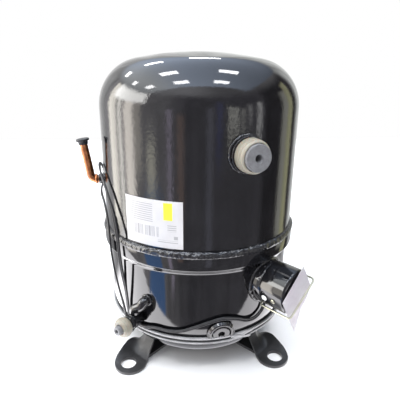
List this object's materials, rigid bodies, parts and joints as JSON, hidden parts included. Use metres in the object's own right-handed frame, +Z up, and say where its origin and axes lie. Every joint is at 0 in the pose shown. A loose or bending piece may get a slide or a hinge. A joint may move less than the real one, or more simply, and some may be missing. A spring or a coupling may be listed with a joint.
{
  "type": "hermetic reciprocating compressor",
  "caption": "Welded-shell reciprocating refrigeration compressor with suction and discharge stubs, terminal box, belt heater and mounting feet.",
  "frame": {"origin": "on the shell's axis, in the plane that the feet stand on", "axes": "+Z up along the shell's axis; the label's side is the front, -Y; the mounting holes are on the diagonals"},
  "size_m": [0.284, 0.2733, 0.382],
  "materials": {
    "black_enamel": "gloss black enamel with a light orange peel",
    "foot_black": "satin black paint",
    "cream_plastic": "satin cream polyethylene",
    "grey_rubber": "matt grey",
    "black_rubber": "satin black",
    "white_plastic": "white",
    "zinc": "yellow zinc plate",
    "paper": "white, matt",
    "copper": "copper tube, lightly tarnished",
    "winding": "varnished copper wire",
    "aluminium": "satin",
    "steel": "satin",
    "cast_iron": "as cast"
  },
  "bodies": {
    "shell": {"upper_shell": "black_enamel", "lower_shell": "black_enamel", "weld_bead": "black_enamel", "suction_spud": "black_enamel", "discharge_tube": "black_enamel", "discharge_spud": "black_enamel", "oil_fitting": "black_enamel", "oil_fitting_plug": "black_enamel", "discharge_nut": "black_enamel", "process_stub": "black_enamel", "terminal_fence": "black_enamel", "terminal_cover": "black_enamel", "cross_plate": "foot_black", "foot_front_left": "foot_black", "foot_front_right": "foot_black", "foot_back_right": "foot_black", "foot_back_left": "foot_black", "suction_thread_cap": "cream_plastic", "discharge_thread_cap": "cream_plastic", "cluster_connector": "black_rubber", "heater_lead": "black_rubber", "conduit_plug": "white_plastic", "ground_screw": "zinc", "instruction_card": "paper", "rating_label": "paper", "process_tube": "copper", "discharge_loop": "copper", "heater_belt": "aluminium", "hermetic_terminal": "steel", "heater_buckle": "steel", "suspension_ring": "steel", "suspension_spring_1": "steel", "suspension_spring_2": "steel", "suspension_spring_3": "steel"},
    "pump": {"crankcase": "cast_iron", "main_bearing": "steel", "lower_bearing": "cast_iron", "valve_plate": "steel", "cylinder_head": "cast_iron", "stator_core": "steel", "winding_top": "winding", "winding_bottom": "winding", "discharge_muffler": "steel"},
    "crankshaft": {"crankshaft": "steel", "oil_pickup": "steel", "rotor_core": "steel", "rotor_ring_top": "aluminium", "rotor_ring_bottom": "aluminium", "counterweight": "cast_iron"},
    "rod_lower": {"connecting_rod_lower": "cast_iron", "wrist_pin_lower": "steel"},
    "rod_upper": {"connecting_rod_upper": "cast_iron", "wrist_pin_upper": "steel"},
    "piston_lower": {"piston_lower": "aluminium"},
    "piston_upper": {"piston_upper": "aluminium"},
    "bail": {"terminal_bail": "zinc"},
    "suction_plug": {"suction_plug": "grey_rubber"},
    "discharge_plug": {"discharge_plug": "grey_rubber"},
    "tube_cap": {"process_tube_cap": "black_rubber"}
  },
  "joints": [
    {"name": "suspension_bounce", "type": "slide", "parent": "shell", "child": "pump", "axis": [0, 0, 1], "range_m": [-0.002, 0.002], "stiffness_N_per_m": 80000, "springref_m": 0.0025, "deforming": ["suspension_spring_1", "suspension_spring_2", "suspension_spring_3", "discharge_loop"]},
    {"name": "crank_spin", "type": "hinge", "parent": "pump", "child": "crankshaft", "pos_m": [0, 0, 0.1], "axis": [0, 0, 1], "continuous": true},
    {"name": "rod_lower_swing", "type": "hinge", "parent": "crankshaft", "child": "rod_lower", "pos_m": [-0.007, 0, 0.094], "axis": [0, 0, 1], "continuous": true},
    {"name": "rod_upper_swing", "type": "hinge", "parent": "crankshaft", "child": "rod_upper", "pos_m": [0.007, 0, 0.136], "axis": [0, 0, 1], "continuous": true},
    {"name": "piston_lower_stroke", "type": "slide", "parent": "pump", "child": "piston_lower", "axis": [1, 0, 0], "range_m": [0, 0.014]},
    {"name": "piston_upper_stroke", "type": "slide", "parent": "pump", "child": "piston_upper", "axis": [1, 0, 0], "range_m": [-0.014, 0]},
    {"name": "bail_swing", "type": "hinge", "parent": "shell", "child": "bail", "pos_m": [0.08603, -0.0936, 0.10981], "axis": [0.6275, 0.5265, 0.5736], "range_deg": [0, 90], "deforming": ["instruction_card"]},
    {"name": "suction_plug_pull", "type": "slide", "parent": "shell", "child": "suction_plug", "axis": [0.3322, -0.9432, 0], "range_m": [0, 0.035]},
    {"name": "discharge_plug_pull", "type": "slide", "parent": "shell", "child": "discharge_plug", "axis": [-0.6428, -0.766, 0], "range_m": [0, 0.025]},
    {"name": "tube_cap_pull", "type": "slide", "parent": "shell", "child": "tube_cap", "axis": [-0.146, -0.0205, 0.9891], "range_m": [0, 0.015]}
  ],
  "couplings": [
    {"joint": "rod_lower_swing", "follows": "crank_spin", "ratio": -1},
    {"joint": "rod_upper_swing", "follows": "crank_spin", "ratio": -1}
  ]
}
